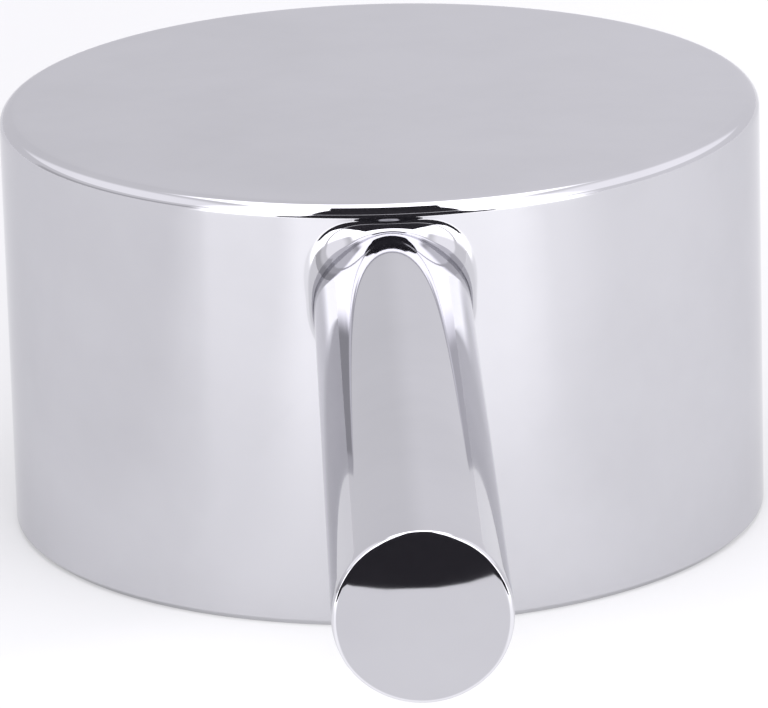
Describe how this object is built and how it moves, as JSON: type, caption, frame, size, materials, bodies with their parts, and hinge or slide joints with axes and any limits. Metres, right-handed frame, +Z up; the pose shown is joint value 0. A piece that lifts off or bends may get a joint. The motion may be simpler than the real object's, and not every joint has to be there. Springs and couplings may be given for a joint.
{
  "type": "tap handle",
  "caption": "Polished chrome tap handle: a plain round cap with a straight pin lever, open below, with a square spindle socket clamped by a grub screw.",
  "frame": {"origin": "the cap's axis on the plane of its rim", "axes": "+Z up the cap's axis to its closed top, -Y along the lever to its tip"},
  "size_m": [0.05, 0.108, 0.028],
  "materials": {
    "chrome": "polished",
    "screw_steel": "satin"
  },
  "bodies": {
    "root": {"handle": "chrome", "grub_screw": "screw_steel"}
  },
  "joints": []
}
